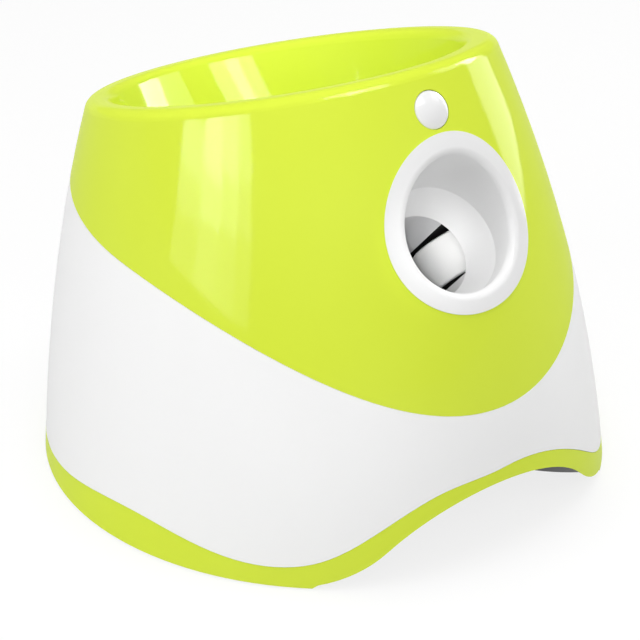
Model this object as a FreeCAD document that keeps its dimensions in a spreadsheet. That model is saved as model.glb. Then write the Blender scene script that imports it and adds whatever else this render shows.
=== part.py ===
"""Automatic dog ball launcher for 50 mm mini tennis balls.

Millimetres, +Z up. The mouth faces -Y, +X is the right side of someone who looks along +Y,
and the origin is on the ground under the middle of the housing.

A ball dropped into the hopper falls down the throat, rolls along a sloping ramp into a cradle
and is pushed by the kicker up the launch tube, where two powered drums grip it and throw it out.
"""
import FreeCAD
import Part
import Sketcher
import math
import os

from FreeCAD import Placement, Rotation, Vector

doc = FreeCAD.newDocument("BallLauncher")

# ------------------------------------------------------------------ driving dimensions
SIZES = {
    # housing outline: ellipses at the ground, one step up and two steps up
    "section_step": 145.0,
    "base_half_width": 170.0,
    "mid_half_width": 141.3,
    "top_half_width": 98.5,
    "base_half_depth": 176.0,
    "mid_half_depth": 161.8,
    "top_half_depth": 99.0,
    "base_centre_y": -3.7,
    "mid_centre_y": 7.6,
    "top_centre_y": 22.4,
    "shell_wall": 2.6,
    "seam_gap": 0.3,
    "tongue_wall": 1.6,
    "tongue_drop": 6.0,
    # rolled rim on its tilted plane
    "rim_height": 242.6,
    "rim_tilt": 16.7,
    "rim_width": 15.0,
    "rim_outer_round": 7.5,
    "rim_inner_round": 6.5,
    "rim_web": 4.5,
    "lip_depth": 12.0,
    # side view of the green and white split: an arc in front, then a straight line
    "split_radius": 333.3,
    "split_height": 157.3,
    "split_slope": 4.66,
    "split_tangent_y": 1.6,
    # foot band: front arch and the wave along its top edge
    "arch_half_width": 128.0,
    "arch_height": 51.0,
    "arch_crown_radius": 104.0,
    "vault_level_y": -141.8,
    "vault_pitch": 35.0,
    "wave_front": 58.7,
    "wave_shoulder": 53.9,
    "wave_flank": 33.6,
    "wave_turn": 17.4,
    "wave_valley": 12.7,
    "wave_side": 22.6,
    "wave_rear": 16.0,
    "trim_clearance": 1.2,
    "tray_height": 1.5,
    "tray_plate": 2.5,
    "foot_radius": 9.0,
    # hopper
    "bowl_wall": 2.4,
    "bowl_break_height": 168.0,
    "bowl_break_y": 25.2,
    "bowl_break_tilt": 4.0,
    "bowl_break_half_width": 88.0,
    "bowl_break_half_depth": 84.0,
    "throat_y": 10.2,
    "throat_height": 150.0,
    "collar_length": 8.0,
    # exit
    "exit_height": 194.6,
    "launch_angle": 46.5,
    "bezel_half_width": 48.0,
    "bezel_half_height": 46.9,
    "bezel_proud": 1.0,
    "bezel_edge_round": 0.5,
    "bezel_wall": 3.2,
    "mouth_radius": 35.3,
    "mouth_round": 4.0,
    "funnel_radius": 34.3,
    "funnel_depth": 28.5,
    "passage_radius": 25.5,
    "passage_depth": 47.6,
    # push button
    "button_height": 250.1,
    "button_radius": 10.9,
    "button_gap": 0.3,
    "button_dome": 2.6,
    "button_edge_round": 0.8,
    "button_skirt": 7.0,
    "button_flange": 1.6,
    "button_travel": 1.5,
    "button_stem_radius": 2.5,
    "switch_size": 8.0,
    "switch_depth": 5.0,
    "switch_board_depth": 21.0,
    # ball duct
    "ball_radius": 25.0,
    "duct_radius": 27.0,
    "launch_radius": 26.0,
    "duct_wall": 2.0,
    "cradle_depth": 116.0,
    "ramp_slope": 11.5,
    "duct_screw_radius": 1.5,
    "duct_boss_radius": 4.0,
    "duct_boss_length": 9.0,
    # drums and their motors
    "drum_depth": 78.0,
    "drum_radius": 32.0,
    "drum_width": 25.4,
    "drum_grip": 18.5,
    "tyre_thickness": 3.0,
    "drum_web": 3.0,
    "window_gap": 3.0,
    "window_rib": 2.5,
    "window_rib_reach": 38.0,
    "flange_thickness": 3.0,
    "spindle_radius": 1.5,
    "bearing_gap": 0.05,
    "motor_radius": 14.0,
    "motor_length": 32.0,
    "motor_cap_length": 6.0,
    # side frames and kicker
    "frame_gap": 0.3,
    "frame_thickness": 3.0,
    "kicker_reach": 40.0,
    "kicker_width": 8.0,
    "kicker_thickness": 6.0,
    "kicker_swing": 43.0,
    "kicker_shaft_radius": 3.0,
    "pad_thickness": 2.0,
    "gear_module": 1.0,
    "gear_teeth": 36,
    "pinion_teeth": 12,
    "gear_width": 6.0,
    "pinion_direction": -60.0,
    "feed_shaft_radius": 1.5,
    # batteries, boards and socket
    "cell_radius": 13.1,
    "cell_length": 50.0,
    "cell_gap": 0.8,
    "bay_y": 55.2,
    "box_wall": 1.8,
    "door_gap": 0.4,
    "door_hinge_radius": 1.6,
    "board_thickness": 1.6,
    "board_standoff": 5.0,
    "jack_height": 48.0,
    "jack_radius": 5.5,
    "screw_head_radius": 3.0,
    "screw_head_height": 1.8,
}

sheet = doc.addObject("Spreadsheet::Sheet", "Sizes")
for row, (alias, value) in enumerate(SIZES.items(), start=1):
    sheet.set(f"A{row}", alias)
    sheet.set(f"B{row}", str(value))
    sheet.setAlias(f"B{row}", alias)
doc.recompute()


def size(alias):
    """The value of one cell of the sheet."""
    return float(getattr(sheet, alias))


# ------------------------------------------------------------------ drawing helpers
X_AXIS = Vector(1, 0, 0)
Y_AXIS = Vector(0, 1, 0)
Z_AXIS = Vector(0, 0, 1)
FAR = 400.0          # reach of a tool solid that runs past the whole housing
EASE = 0.01          # how far a tool runs past the face that it leaves

nodes = []


def node(obj):
    """Marks a finished piece, which is written to its own file."""
    nodes.append(obj)
    return obj


def feature(label, shape):
    """A document object for a form that no stock feature makes."""
    obj = doc.addObject("Part::Feature", label)
    obj.Shape = shape
    return obj


def primitive(kind, label, place=None, **sizes):
    """A Part primitive whose sizes are bound to the sheet."""
    obj = doc.addObject("Part::" + kind, label)
    for name, expression in sizes.items():
        obj.setExpression(name, expression)
    if place is not None:
        obj.Placement = place
    return obj


def fuse(label, *parts):
    obj = doc.addObject("Part::MultiFuse", label)
    obj.Shapes = list(parts)
    obj.Refine = False
    return obj


def common(label, *parts):
    obj = doc.addObject("Part::MultiCommon", label)
    obj.Shapes = list(parts)
    return obj


def cut(label, base, *tools):
    obj = doc.addObject("Part::Cut", label)
    obj.Base = base
    obj.Tool = tools[0] if len(tools) == 1 else fuse(label + "_tools", *tools)
    obj.Refine = False
    return obj


def at(x=0.0, y=0.0, z=0.0, axis=Z_AXIS, angle=0.0):
    return Placement(Vector(x, y, z), Rotation(axis, angle))


def aimed(base, direction):
    """A place at base whose +Z runs along direction."""
    return Placement(base, Rotation(Z_AXIS, direction))


def sketch_of(body, label, role, outline, circles=()):
    """A closed polygon and round holes, each point tied to the sheet by its two distances."""
    sketch = body.newObject("Sketcher::SketchObject", label)
    plane = next(o for o in body.Origin.OriginFeatures if o.Role == role)
    sketch.AttachmentSupport = [(plane, "")]
    sketch.MapMode = "FlatFace"

    def tie(geometry, point, x, y):
        for kind, expression, axis in (("DistanceX", x, -2), ("DistanceY", y, -1)):
            if expression == "0":
                sketch.addConstraint(Sketcher.Constraint("PointOnObject", geometry, point, axis))
                continue
            value = float(sketch.evalExpression(expression))
            index = sketch.addConstraint(Sketcher.Constraint(kind, -1, 1, geometry, point, value))
            sketch.setExpression(f"Constraints[{index}]", expression)

    corners = [Vector(float(sketch.evalExpression(x)), float(sketch.evalExpression(y)), 0)
               for x, y in outline]
    count = len(corners)
    for i in range(count):
        sketch.addGeometry(Part.LineSegment(corners[i], corners[(i + 1) % count]))
    for i in range(count):
        sketch.addConstraint(Sketcher.Constraint("Coincident", i, 2, (i + 1) % count, 1))
    for i, (x, y) in enumerate(outline):
        tie(i, 1, x, y)
    for x, y, radius in circles:
        centre = Vector(float(sketch.evalExpression(x)), float(sketch.evalExpression(y)), 0)
        value = float(sketch.evalExpression(radius))
        ring = sketch.addGeometry(Part.Circle(centre, Z_AXIS, value))
        tie(ring, 3, x, y)
        index = sketch.addConstraint(Sketcher.Constraint("Radius", ring, value))
        sketch.setExpression(f"Constraints[{index}]", radius)
    return sketch


def turned(label, outline, place=None):
    """A body turned about its own Z axis. The outline is a list of (radius, height)."""
    body = doc.addObject("PartDesign::Body", label)
    sketch = sketch_of(body, label + "_profile", "XZ_Plane", outline)
    turn = body.newObject("PartDesign::Revolution", label + "_turn")
    turn.Profile = sketch
    turn.ReferenceAxis = (sketch, ["V_Axis"])
    turn.Angle = 360
    if place is not None:
        body.Placement = place
    return body


def plate(label, outline, thickness, place=None, circles=()):
    """A flat body: a polygon with round holes, padded to its thickness."""
    body = doc.addObject("PartDesign::Body", label)
    sketch = sketch_of(body, label + "_outline", "XY_Plane", outline, circles)
    pad = body.newObject("PartDesign::Pad", label + "_pad")
    pad.Profile = sketch
    pad.setExpression("Length", thickness)
    if place is not None:
        body.Placement = place
    return body


def group(label, sample, places):
    """Copies of one small piece as separate solids of one node."""
    doc.recompute()
    copies = []
    for place in places:
        copy = sample.Shape.copy()
        copy.Placement = place.multiply(copy.Placement)
        copies.append(copy)
    return node(feature(label, Part.makeCompound(copies)))


def screw(label, length, radius="Sizes.duct_screw_radius"):
    """A pan-head screw: head above Z 0, shank below."""
    return turned(label, [
        ("0", f"-({length})"),
        (f"{radius} * 0.6", f"-({length})"),
        (radius, f"-({length}) + {radius}"),
        (radius, "0"),
        ("Sizes.screw_head_radius", "0"),
        ("Sizes.screw_head_radius", "Sizes.screw_head_height * 0.5"),
        ("Sizes.screw_head_radius * 0.6", "Sizes.screw_head_height"),
        ("0", "Sizes.screw_head_height"),
    ])


# ------------------------------------------------------------------ housing outline
def across_sections(low, mid, high, z):
    """A size that runs smoothly through its values at the three sections."""
    t = z / size("section_step")
    return (low * (t - 1) * (t - 2) / 2 - mid * t * (t - 2) + high * t * (t - 1) / 2)


def half_width(z):
    return across_sections(size("base_half_width"), size("mid_half_width"),
                           size("top_half_width"), z)


def half_depth(z):
    return across_sections(size("base_half_depth"), size("mid_half_depth"),
                           size("top_half_depth"), z)


def centre_y(z):
    return across_sections(size("base_centre_y"), size("mid_centre_y"),
                           size("top_centre_y"), z)


def front_y(z):
    return centre_y(z) - half_depth(z)


def back_y(z):
    return centre_y(z) + half_depth(z)


def ellipse(semi_x, semi_y, place):
    """A closed elliptical wire in the place's XY plane."""
    stretch = FreeCAD.Matrix()
    stretch.scale(semi_x, semi_y, 1)
    wire = Part.Wire([Part.makeCircle(1).transformGeometry(stretch)])
    wire.Placement = place
    return wire


def housing_form(inset):
    """The smooth outside of the housing, moved inwards by inset, as one tall solid."""
    step = size("section_step")
    wires = [ellipse(half_width(z) - inset, half_depth(z) - inset, at(y=centre_y(z), z=z))
             for z in (0, step, 2 * step)]
    return Part.makeLoft(wires, True)


def ring_form(inset, wall):
    return housing_form(inset).cut(housing_form(inset + wall))


RIM_SLOPE = math.tan(math.radians(size("rim_tilt")))


def under_rim(drop):
    """Everything below the rim plane moved down by drop."""
    block = Part.makeBox(2 * FAR, 2 * FAR, FAR, Vector(-FAR, -FAR, -FAR))
    block.Placement = at(z=size("rim_height") - drop, axis=X_AXIS, angle=-size("rim_tilt"))
    return block


def over_split(drop):
    """Everything above the line where green meets white, moved down by drop."""
    radius = size("split_radius")
    slope = math.radians(size("split_slope"))
    tangent = size("split_tangent_y")
    start = size("split_height") + tangent * math.tan(slope) - drop
    arc_y = tangent + radius * math.sin(slope)
    arc_z = start - radius * math.cos(slope)

    def on_arc(y):
        return Vector(-FAR, y, arc_z + math.sqrt(radius ** 2 - (y - arc_y) ** 2))

    nose_y = front_y(0) - 20
    tail = Vector(-FAR, FAR, start + (FAR - tangent) * math.tan(slope))
    arc = Part.Arc(on_arc(tangent), on_arc((tangent + nose_y) / 2), on_arc(nose_y)).toShape()
    corners = [on_arc(nose_y), Vector(-FAR, nose_y, FAR), Vector(-FAR, FAR, FAR), tail,
               on_arc(tangent)]
    edges = [Part.makeLine(a, b) for a, b in zip(corners, corners[1:])]
    return Part.Face(Part.Wire(edges + [arc])).extrude(Vector(2 * FAR, 0, 0))


# Angles from the front, where the wave's heights are given; the wave is the same on both sides.
WAVE = [(0, "wave_front"), (14, "wave_shoulder"), (28, "wave_flank"), (38, "wave_turn"),
        (52, "wave_valley"), (76, "wave_side"), (100, "wave_rear"), (180, "wave_rear")]


def under_wave(rise=0.0):
    """Everything near the wall below the foot band's wavy top edge, moved up by rise."""
    turns = [(angle, name) for angle, name in WAVE]
    turns += [(-angle, name) for angle, name in reversed(WAVE) if 0 < angle < 180]
    curves = []
    for inset in (-8.0, 30.0):
        points = []
        for angle, name in turns:
            z = size(name)
            along = math.radians(angle)
            points.append(Vector((half_width(z) - inset) * math.sin(along),
                                 centre_y(z) - (half_depth(z) - inset) * math.cos(along), z))
        curve = Part.BSplineCurve()
        curve.interpolate(points, PeriodicFlag=True)
        curves.append(curve.toShape())
    solid = Part.makeRuledSurface(*curves).extrude(Vector(0, 0, -FAR / 2))
    solid.translate(Vector(0, 0, rise))
    return solid


def arch_face(y, rise):
    """The front arch as a face: two valleys and a crown, arcs that run smoothly together."""
    half = size("arch_half_width")
    crown = size("arch_height")
    crown_radius = size("arch_crown_radius")
    radii = (half ** 2 + crown ** 2) / (2 * crown)      # the two radii together
    valley_radius = radii - crown_radius
    join_x = half * crown_radius / radii
    join_z = crown * valley_radius / radii
    bend = math.asin((half - join_x) / valley_radius) / 2
    dip = valley_radius * (1 - math.cos(bend))
    reach = valley_radius * math.sin(bend)

    def point(x, z):
        return Vector(x, y, z + rise)

    arcs = [
        Part.Arc(point(-half, 0), point(-half + reach, dip), point(-join_x, join_z)),
        Part.Arc(point(-join_x, join_z), point(0, crown), point(join_x, join_z)),
        Part.Arc(point(join_x, join_z), point(half - reach, dip), point(half, 0)),
    ]
    foot = 4 * size("tray_plate")
    lines = [Part.makeLine(point(half, 0), point(half, -foot)),
             Part.makeLine(point(half, -foot), point(-half, -foot)),
             Part.makeLine(point(-half, -foot), point(-half, 0))]
    return Part.Face(Part.Wire([a.toShape() for a in arcs] + lines))


def tunnel(rise):
    """The space under the front arch: level behind the wall, then sloping down to the ground."""
    nose = front_y(0) - 20
    level = size("vault_level_y")
    run = size("arch_height") / math.tan(math.radians(size("vault_pitch"))) + 20
    fall = run * math.tan(math.radians(size("vault_pitch")))
    porch = arch_face(nose, rise).extrude(Vector(0, level - nose, 0))
    slope = arch_face(level, rise).extrude(Vector(0, run, -fall))
    return porch.fuse(slope).removeSplitter()


def slab(low, high):
    """Everything between two heights."""
    return Part.makeBox(2 * FAR, 2 * FAR, high - low, Vector(-FAR, -FAR, low))


# ------------------------------------------------------------------ launch frame
# Its origin is on the front wall at the exit height, +Z runs out along the launch direction
# and +Y is square to it, up and back. Depths are measured inwards, along -Z.
launch = Placement(Vector(0, front_y(size("exit_height")), size("exit_height")),
                   Rotation(X_AXIS, 90 - size("launch_angle")))


def in_launch(x=0.0, across=0.0, depth=0.0):
    """A place in the launch frame."""
    return launch.multiply(Placement(Vector(x, across, -depth), Rotation()))


def launch_point(x=0.0, across=0.0, depth=0.0):
    return in_launch(x, across, depth).Base


LAUNCH_AXIS = launch.Rotation.multVec(Z_AXIS)
ACROSS_AXIS = launch.Rotation.multVec(Y_AXIS)
cradle = launch_point(depth=size("cradle_depth"))


# ------------------------------------------------------------------ hopper forms
def rim_wire(inset):
    """The rim's outline on its tilted plane, moved inwards by inset."""
    def meet(edge_y):
        z = size("rim_height")
        for _ in range(60):
            z = size("rim_height") - RIM_SLOPE * edge_y(z)
        return z

    front = meet(front_y)
    back = meet(back_y)
    middle = (front_y(front) + back_y(back)) / 2
    height = size("rim_height") - RIM_SLOPE * middle
    long_side = (back_y(back) - front_y(front)) / 2 / math.cos(math.radians(size("rim_tilt")))
    off_centre = (middle - centre_y(height)) / half_depth(height)
    short_side = half_width(height) * math.sqrt(1 - off_centre ** 2)
    return ellipse(short_side - inset, long_side - inset,
                   at(y=middle, z=height, axis=X_AXIS, angle=-size("rim_tilt")))


def bowl_form(wall):
    """The funnel's inside, or with a wall its outside: a steep cone and a shallow floor."""
    drop = wall
    top = rim_wire(size("rim_width") - wall)
    bend = ellipse(size("bowl_break_half_width") + wall, size("bowl_break_half_depth") + wall,
                   at(y=size("bowl_break_y"), z=size("bowl_break_height") - drop,
                      axis=X_AXIS, angle=-size("bowl_break_tilt")))
    throat = ellipse(size("duct_radius") + wall, size("duct_radius") + wall,
                     at(y=size("throat_y"), z=size("throat_height") - drop))
    return Part.makeLoft([top, bend, throat], True, True)


def bowl_space():
    """Everything that is open inside the hopper, out through the top and down the throat."""
    above = Part.Face(rim_wire(size("rim_width"))).extrude(Vector(0, 0, FAR / 4))
    hole = Part.makeCylinder(size("duct_radius"), FAR / 8,
                             Vector(0, size("throat_y"), size("throat_height") - FAR / 8 + EASE))
    return bowl_form(0).fuse([above, hole])


def edges_near_plane(shape, height, slope, slack):
    """Numbers of the edges that lie on the plane z = height - slope * y."""
    found = []
    for number, edge in enumerate(shape.Edges, start=1):
        points = edge.discretize(9)
        if all(abs(p.z - height + slope * p.y) < slack for p in points):
            found.append(number)
    return found


def rounded(label, base, numbers, radius):
    obj = doc.addObject("Part::Fillet", label)
    obj.Base = base
    obj.Edges = [(number, radius, radius) for number in numbers]
    return obj


# ------------------------------------------------------------------ upper shell and hopper
def make_upper_shell():
    wall = size("shell_wall")
    web = size("rim_web") / math.cos(math.radians(size("rim_tilt")))
    block = feature("rim_block", housing_form(0).common(under_rim(0)))
    rim_edge = edges_near_plane(block.Shape, size("rim_height"), RIM_SLOPE, 0.05)
    rolled = rounded("rim_roll", block, rim_edge, size("rim_outer_round"))
    cavity = feature("upper_cavity", housing_form(wall).common(under_rim(web)))
    capped = cut("upper_capped", rolled, cavity)
    lip_wall = bowl_form(size("bowl_wall")).common(under_rim(web / 2))
    lip_wall = lip_wall.cut(under_rim(size("lip_depth")))
    opened = cut("upper_opened", fuse("upper_lipped", capped, feature("rim_lip", lip_wall)),
                 feature("hopper_space", bowl_space()))
    doc.recompute()
    mouth_edges = edges_near_plane(opened.Shape, size("rim_height"), RIM_SLOPE, 0.05)
    inner = min(mouth_edges, key=lambda number: opened.Shape.Edges[number - 1].Length)
    soft = rounded("rim_inner_roll", opened, [inner], size("rim_inner_round"))

    above = feature("split_above", over_split(0))
    trimmed = common("upper_trimmed", soft, above)
    # the tongue hangs behind the lower shell, and the anchor joins it to the wall above
    gap = size("seam_gap")
    drop = size("tongue_drop")
    lip = ring_form(wall + gap, size("tongue_wall")).common(over_split(drop))
    lip = lip.cut(over_split(-drop))
    anchor = ring_form(wall - gap, size("tongue_wall") + 2 * gap)
    anchor = anchor.common(over_split(0)).cut(over_split(-drop))
    bosses = button_bosses()
    joined = fuse("upper_joined", trimmed, feature("upper_tongue", lip.fuse(anchor)))
    whole = fuse("upper_whole", joined, *bosses)
    return node(cut("upper_shell", whole, exit_hole(), button_hole()))


def exit_hole():
    """The round hole in the front wall for the bezel's barrel."""
    return primitive("Cylinder", "exit_hole", in_launch(depth=FAR / 8),
                     Radius="Sizes.funnel_radius + Sizes.bezel_wall + Sizes.seam_gap",
                     Height="100")


def make_hopper_bowl():
    """The funnel below the rim's lip, with the collar that takes the duct's top."""
    skin = bowl_form(size("bowl_wall")).common(under_rim(size("lip_depth")))
    collar = primitive("Cylinder", "collar_block",
                       at(y=size("throat_y"), z=size("throat_height") - size("bowl_wall")
                          - size("collar_length")),
                       Radius="Sizes.duct_radius + Sizes.duct_wall + Sizes.seam_gap + "
                              "Sizes.bowl_wall",
                       Height="Sizes.collar_length + Sizes.bowl_wall")
    socket = feature("collar_socket", duct_form(size("duct_wall") + size("seam_gap")))
    block = fuse("bowl_block", feature("bowl_skin", skin), collar)
    return node(cut("hopper_bowl", block, feature("bowl_inside", bowl_space()), socket))


# ------------------------------------------------------------------ push button
button_slope = math.degrees(math.atan2(
    front_y(size("button_height") + 1) - front_y(size("button_height") - 1), 2))
# the button's +Z runs out of the wall, and its depths are measured inwards
button_frame = Placement(Vector(0, front_y(size("button_height")), size("button_height")),
                         Rotation(X_AXIS, 90 - button_slope))


def in_button(x=0.0, up=0.0, depth=0.0):
    return button_frame.multiply(Placement(Vector(x, up, -depth), Rotation()))


BOARD_POST_X = 16.5   # sideways distance of the switch board's posts from the button's axis


def button_hole():
    return primitive("Cylinder", "button_hole", in_button(depth=12.0),
                     Radius="Sizes.button_radius + Sizes.button_gap", Height="40")


def button_bosses():
    """A guide tube round the button and two posts for its board, inside the front wall."""
    inside = feature("boss_limit", housing_form(size("shell_wall") / 2))
    tube = primitive("Cylinder", "button_guide", in_button(depth=6.0),
                     Radius="Sizes.button_radius + Sizes.button_gap + 1.6", Height="8")
    posts = []
    for side in (-1, 1):
        post = primitive("Cylinder", f"button_post_{side + 1}",
                         in_button(x=side * BOARD_POST_X, depth=size("switch_board_depth")),
                         Radius="2.8", Height="Sizes.switch_board_depth + 2")
        pilot = primitive("Cylinder", f"button_pilot_{side + 1}",
                          in_button(x=side * BOARD_POST_X, depth=size("switch_board_depth") + 1),
                          Radius="1.1", Height="9")
        posts.append(cut(f"button_boss_{side + 1}", post, pilot))
    return [common(f"{part.Name}_in_wall", part, inside) for part in [tube] + posts]


def make_button():
    """Domed cap, flange that holds it behind the guide tube, and stem down to the switch."""
    stem_end = "(Sizes.switch_board_depth - Sizes.switch_depth - 2)"
    blank = turned("button_blank", [
        ("0", f"-{stem_end}"),
        ("Sizes.button_stem_radius", f"-{stem_end}"),
        ("Sizes.button_stem_radius", "-Sizes.button_skirt - Sizes.button_flange"),
        ("Sizes.button_radius + 1.4", "-Sizes.button_skirt - Sizes.button_flange"),
        ("Sizes.button_radius + 1.4", "-Sizes.button_skirt"),
        ("Sizes.button_radius", "-Sizes.button_skirt"),
        ("Sizes.button_radius", "Sizes.button_dome"),
        ("0", "Sizes.button_dome"),
    ], button_frame)
    # the cap's top is part of a ball that leaves the skirt at the wall's height
    dome = size("button_dome")
    ball = (size("button_radius") ** 2 + dome ** 2) / (2 * dome)
    domed = common("button_domed", blank, feature("button_ball", Part.makeSphere(
        ball, in_button(depth=ball - dome).Base)))
    doc.recompute()
    crown = [number for number, edge in enumerate(domed.Shape.Edges, start=1)
             if all(abs(button_frame.inverse().multVec(p).z) < 0.05
                    for p in edge.discretize(5)) and edge.Length > 40]
    node(rounded("mode_button", domed, crown, size("button_edge_round")))
    board = plate("switch_board", [
        ("-20", "-7"), ("20", "-7"), ("20", "7"), ("-20", "7"),
    ], "Sizes.board_thickness",
        in_button(depth=size("switch_board_depth") + size("board_thickness")),
        circles=[(str(-BOARD_POST_X), "0", "1.3"), (str(BOARD_POST_X), "0", "1.3")])
    node(board)
    body = primitive("Box", "switch_block",
                     in_button(x=-size("switch_size") / 2, up=-size("switch_size") / 2,
                               depth=size("switch_board_depth")),
                     Length="Sizes.switch_size", Width="Sizes.switch_size",
                     Height="Sizes.switch_depth")
    well = primitive("Cylinder", "switch_well", in_button(depth=size("switch_board_depth") - 1),
                     Radius="Sizes.button_stem_radius - 0.4", Height="Sizes.switch_depth")
    node(cut("switch_body", body, well))
    node(primitive("Cylinder", "switch_plunger",
                   in_button(depth=size("switch_board_depth") - 1 - size("button_travel") - 0.3),
                   Radius="Sizes.button_stem_radius - 0.7",
                   Height="Sizes.switch_depth - 1.3 + 2 - Sizes.button_travel"))
    head = size("switch_board_depth") + size("board_thickness")
    sample = screw("switch_screw", "6", "1")
    group("switch_screws", sample,
          [in_button(x=side * BOARD_POST_X, depth=head).multiply(
              Placement(Vector(), Rotation(X_AXIS, 180))) for side in (-1, 1)])


# ------------------------------------------------------------------ exit bezel
def make_exit_bezel():
    """White ring on the wall, with the stepped funnel that the ball leaves through."""
    proud = size("bezel_proud")
    oval = Part.Face(ellipse(size("bezel_half_width"), size("bezel_half_height"),
                             in_launch(depth=40.0)))
    ring = feature("bezel_ring", oval.extrude(LAUNCH_AXIS * 80))
    skin = housing_form(-proud).cut(housing_form(0))
    flange = common("bezel_flange", ring, feature("bezel_skin", skin))
    barrel = primitive("Cylinder", "bezel_barrel", in_launch(depth=size("funnel_depth")),
                       Radius="Sizes.funnel_radius + Sizes.bezel_wall",
                       Height="Sizes.funnel_depth + 40")
    cone = primitive("Cone", "bezel_cone", in_launch(depth=size("passage_depth")),
                     Radius1="Sizes.passage_radius + Sizes.bezel_wall",
                     Radius2="Sizes.funnel_radius + Sizes.bezel_wall",
                     Height="Sizes.passage_depth - Sizes.funnel_depth")
    outline = feature("bezel_limit", housing_form(-proud))
    barrel_in = common("bezel_barrel_in", fuse("bezel_tube", barrel, cone), outline)
    flare = "(Sizes.mouth_radius - Sizes.funnel_radius) / Sizes.funnel_depth"
    funnel = turned("bezel_funnel", [
        ("0", "-Sizes.passage_depth - 1"),
        ("Sizes.passage_radius", "-Sizes.passage_depth - 1"),
        ("Sizes.passage_radius", "-Sizes.passage_depth"),
        ("Sizes.funnel_radius", "-Sizes.funnel_depth"),
        (f"Sizes.funnel_radius + {flare} * (40 + Sizes.funnel_depth)", "40"),
        ("0", "40"),
    ], launch)
    raw = cut("bezel_raw", fuse("bezel_solid", flange, barrel_in), funnel)
    doc.recompute()
    # the lip of the mouth is the one long edge of the funnel that isn't square to its axis
    lip = []
    for number, edge in enumerate(raw.Shape.Edges, start=1):
        reach = [launch.inverse().multVec(p) for p in edge.discretize(9)]
        on_funnel = all(abs(math.hypot(p.x, p.y) - size("mouth_radius")) < 1.0 for p in reach)
        heights = [p.z for p in reach]
        if on_funnel and max(heights) - min(heights) > 5 and edge.Length > 60:
            lip.append(number)
    soft = rounded("bezel_mouth_roll", raw, lip, size("mouth_round"))
    doc.recompute()
    # the flange's outer edge is the longest edge that stands proud of the wall
    outer = max(range(len(soft.Shape.Edges)), key=lambda n: soft.Shape.Edges[n].Length
                if not on_wall(soft.Shape.Edges[n]) else 0)
    return node(rounded("exit_bezel", soft, [outer + 1], size("bezel_edge_round")))


def on_wall(edge):
    """True for an edge that lies on the housing's own skin, or inside it."""
    point = edge.discretize(3)[1]
    reach_x = point.x / half_width(point.z)
    reach_y = (point.y - centre_y(point.z)) / half_depth(point.z)
    return math.hypot(reach_x, reach_y) < 1 + size("bezel_proud") / 2 / size("base_half_width")


# ------------------------------------------------------------------ lower shell, band and tray
def make_lower_shell():
    wall = size("shell_wall")
    gap = size("seam_gap")
    skin = housing_form(0).cut(housing_form(wall))
    skin = skin.cut(over_split(gap)).cut(under_wave(gap))
    skin = skin.cut(tunnel(0)).common(slab(size("trim_clearance"), FAR))
    band_room = ring_form(0, wall + gap).common(under_wave(gap))
    posts = []
    for x, y in case_posts():
        post = Part.makeCylinder(5, size("tongue_drop") * 8,
                                 Vector(x, y, size("tray_height") + size("tray_plate")))
        pilot = Part.makeCylinder(1.4, 16, Vector(x, y, size("tray_height")))
        posts.append(post.cut(pilot).common(housing_form(wall / 2)).cut(band_room))
    whole = fuse("lower_whole", feature("lower_skin", skin), feature("lower_posts",
                 Part.makeCompound(posts)))
    # a round pocket in the back wall for the power socket
    cup = primitive("Cylinder", "jack_cup", jack_place(-2.5), Radius="13", Height="12")
    cup_in = common("jack_cup_in", cup, feature("jack_limit", housing_form(wall / 2)))
    pocket = primitive("Cylinder", "jack_pocket", jack_place(0), Radius="10.5", Height="20")
    hole = primitive("Cylinder", "jack_hole", jack_place(-10), Radius="Sizes.jack_radius + 0.05",
                     Height="30")
    return node(cut("lower_shell", fuse("lower_cupped", whole, cup_in), pocket, hole))


def jack_place(depth):
    """A place on the power socket's axis, +Z out of the back, from the pocket's floor."""
    z = size("jack_height")
    return at(y=back_y(z) - 3.5 + depth, z=z, axis=X_AXIS, angle=-90)


def case_posts():
    """Where the tray's screws go up into the lower shell: four posts against the wall."""
    inset = size("shell_wall") + 7.0
    spots = []
    for angle in (62, 132, 228, 298):
        turn = math.radians(angle)
        spots.append(((half_width(0) - inset) * math.sin(turn),
                      centre_y(0) - (half_depth(0) - inset) * math.cos(turn)))
    return spots


def make_base_trim():
    """Green foot band: the lowest part of the wall, arched over in front."""
    wall = size("shell_wall")
    band = housing_form(0).cut(housing_form(wall))
    band = band.common(under_wave()).cut(tunnel(0))
    band = band.common(slab(size("trim_clearance"), FAR))
    return node(feature("base_trim", band))


def bay_sizes():
    """Half width, half depth of the battery bay."""
    half_x = size("cell_length") + size("cell_gap") * 2 + 4
    half_y = 3 * size("cell_radius") + 2 * size("cell_gap")
    return half_x, half_y


SCREW_SINK = 1.3                 # how deep the heads of the screws underneath are sunk
FRAME_FEET = (-69.8, 6.2)        # y of the two ends of a side frame's foot
FOOT_SCREWS = (-59.8, -15.8)     # y of the screws in a side frame's foot


def tab_line():
    """Y of the middle of the battery door's thumb tab."""
    return size("bay_y") - bay_sizes()[1] - size("box_wall") - 4.5


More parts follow.
